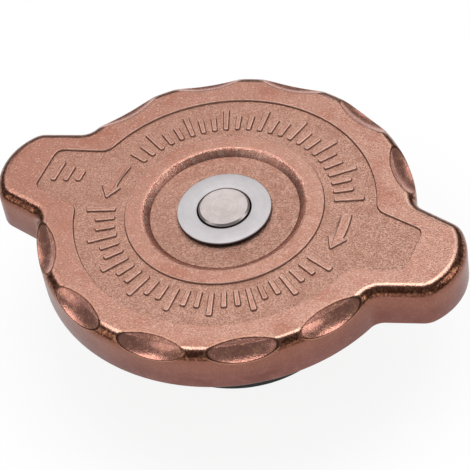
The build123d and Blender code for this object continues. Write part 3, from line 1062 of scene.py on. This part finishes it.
def turned_metal(name, relief=mark_relief, shade_depths=None):
    """Metal with faint turning marks and a soft mottling, with painted shade at the depths below the washer's
    top.
    """
    light, dark, roughness = METALS[name]
    m = Shader(name, Metallic=1.0)
    ring_place = m.put("ShaderNodeCombineXYZ", {"X": m.radius()}).outputs[0]
    rings = m.noise(ring_size, 3.0, 0.7, ring_place)
    mottle = m.noise(mottle_size, 3.0, 0.6)
    tone = m.plus(m.times(mottle, 0.5), m.times(rings, 0.5))
    colour = m.mix(m.ramp(tone, tone_low, tone_high), dark, light)
    if shade_depths:
        low, high = ((washer_high.z - depth) * MM for depth in shade_depths)
        colour = m.mix(m.ramp(m.axis("Z"), low, high), tuple(c * shade_tone for c in dark), colour)
    rough = m.plus(roughness - roughness_swing / 2, m.times(mottle, roughness_swing))
    normal = m.bump(rings, relief)
    normal = m.bump(m.noise(grit_size), grit_relief, grit_strength, normal)
    m.set(Base_Color=colour, Roughness=rough, Normal=normal)
    return m.material


# Rubber: clean and dusty tone, sizes of its specks and dust in metres
RUBBER_TONES = (0.008, 0.008, 0.008), (0.022, 0.021, 0.021)
speck_size, dust_size = 0.0006, 0.004


def rubber():
    m = Shader("black_rubber", Specular_IOR_Level=0.25)
    speck = m.noise(speck_size, 3.0, 0.6)
    dust = m.ramp(m.noise(dust_size, 4.0, 0.7), 0.5, 0.8)
    m.set(Base_Color=m.mix(dust, *RUBBER_TONES), Roughness=m.plus(0.45, m.times(speck, 0.25)))
    m.set(Normal=m.bump(speck, rubber_relief))
    return m.material


# Floor: tones, mottle in metres, half its side in millimetres, glow near the cap, and where it turns white
FLOOR_TONES = (0.86, 0.86, 0.865), (0.89, 0.89, 0.89)
floor_mottle = 0.25
floor_half = 3000.0
near_white = 0.89
white_from_r, white_to_r = 0.026, 0.052


def stage_floor():
    """Pale floor that keeps the shadow near the object and is plain white further out."""
    m = Shader("pale_floor", Roughness=0.85)
    m.set(Base_Color=m.mix(m.noise(floor_mottle), *FLOOR_TONES))
    path = m.put("ShaderNodeLightPath").outputs
    mirrored = m.math("MAXIMUM", path["Is Glossy Ray"], path["Is Transmission Ray"])
    seen = m.math("MAXIMUM", path["Is Camera Ray"], mirrored)
    white = m.plus(near_white, m.times(m.ramp(m.radius(), white_from_r, white_to_r), 1 - near_white))
    glow = m.put("ShaderNodeEmission", {"Color": WHITE, "Strength": 1.0})
    mixed = m.put("ShaderNodeMixShader", {0: m.times(seen, white), 1: m.bsdf.outputs[0], 2: glow.outputs[0]})
    m.feed(m.tree.nodes["Material Output"].inputs["Surface"], mixed.outputs[0])
    corners = [(x * floor_half, y * floor_half, 0) for x, y in ((-1, -1), (1, -1), (1, 1), (-1, 1))]
    floor = new_object("floor", corners, [(0, 1, 2, 3)])
    floor.data.materials.append(m.material)


# Camera, fitted to the photograph: degrees, millimetres, and a focal length in its pixels
camera_azimuth, camera_elevation, camera_roll = 30.595, 47.003, -10.478
camera_distance = 334.59
camera_slide = (-1.729, -4.345)
focal_pixels, frame_pixels = 2145.573, 470
sensor_mm = 36.0
clip_near, clip_far = 0.01, 10.0


def away_from_cap(azimuth, elevation):
    """Unit vector along a bearing in degrees. Azimuth 0 points along -Y."""
    a, e = math.radians(azimuth), math.radians(elevation)
    return Vector((math.sin(a) * math.cos(e), -math.cos(a) * math.cos(e), math.sin(e)))


def camera_axes():
    """Rows: the camera's right, down and forward."""
    a, r = math.radians(camera_azimuth), math.radians(camera_roll)
    back = away_from_cap(camera_azimuth, camera_elevation)
    right = Vector((math.cos(a), math.sin(a), 0))
    up = back.cross(right)
    level = Matrix((right, -up, -back))
    turn = Matrix(((math.cos(r), -math.sin(r), 0), (math.sin(r), math.cos(r), 0), (0, 0, 1)))
    return turn @ level


def make_camera():
    axes = camera_axes()
    data = bpy.data.cameras.new("camera")
    data.sensor_width = sensor_mm
    data.lens = focal_pixels * sensor_mm / frame_pixels
    data.clip_start, data.clip_end = clip_near, clip_far
    camera = bpy.data.objects.new("camera", data)
    bpy.context.scene.collection.objects.link(camera)
    offset = axes.transposed() @ Vector((-camera_slide[0], -camera_slide[1], -camera_distance))
    place = (Vector((0, 0, land_z)) + offset) * MM
    turn = Matrix((axes[0], -axes[1], -axes[2])).transposed().to_4x4()
    camera.matrix_world = Matrix.Translation(place) @ turn
    bpy.context.scene.camera = camera


# Softboxes: bearing from the camera's and elevation in degrees, size in metres, power in watts
SOFTBOXES = {
    "back": (180, 45, (1.3, 0.55), 2.45),
    "top": (180, 71, (1.1, 0.34), 3.0),
    "left": (-75, 30, (0.5, 0.7), 1.0),
    "right": (78, 28, (0.4, 0.6), 1.3),
    "fill": (0, 16, (1.5, 0.35), 1.3),
}
softbox_distance = 1.0
world_strength = 0.22


def softbox(name, bearing, elevation, size, power):
    """Area lamp that looks at the cap."""
    away = away_from_cap(camera_azimuth + bearing, elevation)
    data = bpy.data.lights.new(name, "AREA")
    data.shape = "RECTANGLE"
    data.size, data.size_y = size
    data.energy = power
    lamp = bpy.data.objects.new(name, data)
    lamp.location = Vector((0, 0, land_z * MM)) + away * softbox_distance
    lamp.rotation_mode = "QUATERNION"
    lamp.rotation_quaternion = away.to_track_quat("Z", "Y")
    bpy.context.scene.collection.objects.link(lamp)


def make_world():
    """Faint white light from all round, behind a plain white background."""
    world = bpy.data.worlds.new("studio")
    world.use_nodes = True
    nodes, links = world.node_tree.nodes, world.node_tree.links
    faint, bright = nodes["Background"], nodes.new("ShaderNodeBackground")
    for background, strength in ((faint, world_strength), (bright, 1.0)):
        background.inputs["Color"].default_value = (*WHITE, 1.0)
        background.inputs["Strength"].default_value = strength
    path, mixed = nodes.new("ShaderNodeLightPath"), nodes.new("ShaderNodeMixShader")
    links.new(path.outputs["Is Camera Ray"], mixed.inputs[0])
    links.new(faint.outputs[0], mixed.inputs[1])
    links.new(bright.outputs[0], mixed.inputs[2])
    links.new(mixed.outputs[0], nodes["World Output"].inputs["Surface"])
    bpy.context.scene.world = world


make_camera()
for side, settings in SOFTBOXES.items():
    softbox("softbox_" + side, *settings)
make_world()
stage_floor()

copper = Copper().material
dress(make_cover(), "cover", copper, ["cap_cover"])
dress(make_marks(), "cover", copper)
dress(make_claws(), "cover", copper)

# Painted shade: the washer and the rivet are drawn dark where they meet the cover and the recess
steel = turned_metal("satin_steel")
washer_steel = turned_metal("satin_washer_steel", shade_depths=washer_shade_depths)
rivet_steel = turned_metal("turned_rivet_steel", rivet_mark_relief, rivet_shade_depths)
dress(make_washer(), "carrier", washer_steel, ["rivet_washer"])
dress(make_rivet(), "carrier", rivet_steel, ["centre_rivet"])

plated = turned_metal("plated_steel")
wire = turned_metal("spring_wire")
brass = turned_metal("turned_brass")
black = rubber()
dress(make_plate(), "pressure_valve", plated, ["valve_plate"])
dress(make_seal(), "pressure_valve", black, ["pressure_seal"])
dress(make_retainer(), "pressure_valve", steel, ["seal_retainer"])
dress(make_hub(), "pressure_valve", brass, ["valve_hub"])
main_spring = make_spring("wound_main_spring", "main_spring", "pressure_valve_lift", True, *MAIN_COIL)
light_spring = make_spring("wound_light_spring", "vacuum_spring", "vacuum_valve_drop", False, *LIGHT_COIL)
dress(main_spring, "carrier", wire, ["main_spring"])
dress(light_spring, "pressure_valve", wire, ["vacuum_spring"])
dress_nodes(steel, "swivel_washer", "spring_disc", "spring_clip")
dress_nodes(plated, "gasket_retainer", "spring_cage")
dress_nodes(brass, "vacuum_valve")
dress_nodes(black, "neck_gasket", "vacuum_seal")

bpy.context.scene.view_settings.view_transform = "Standard"
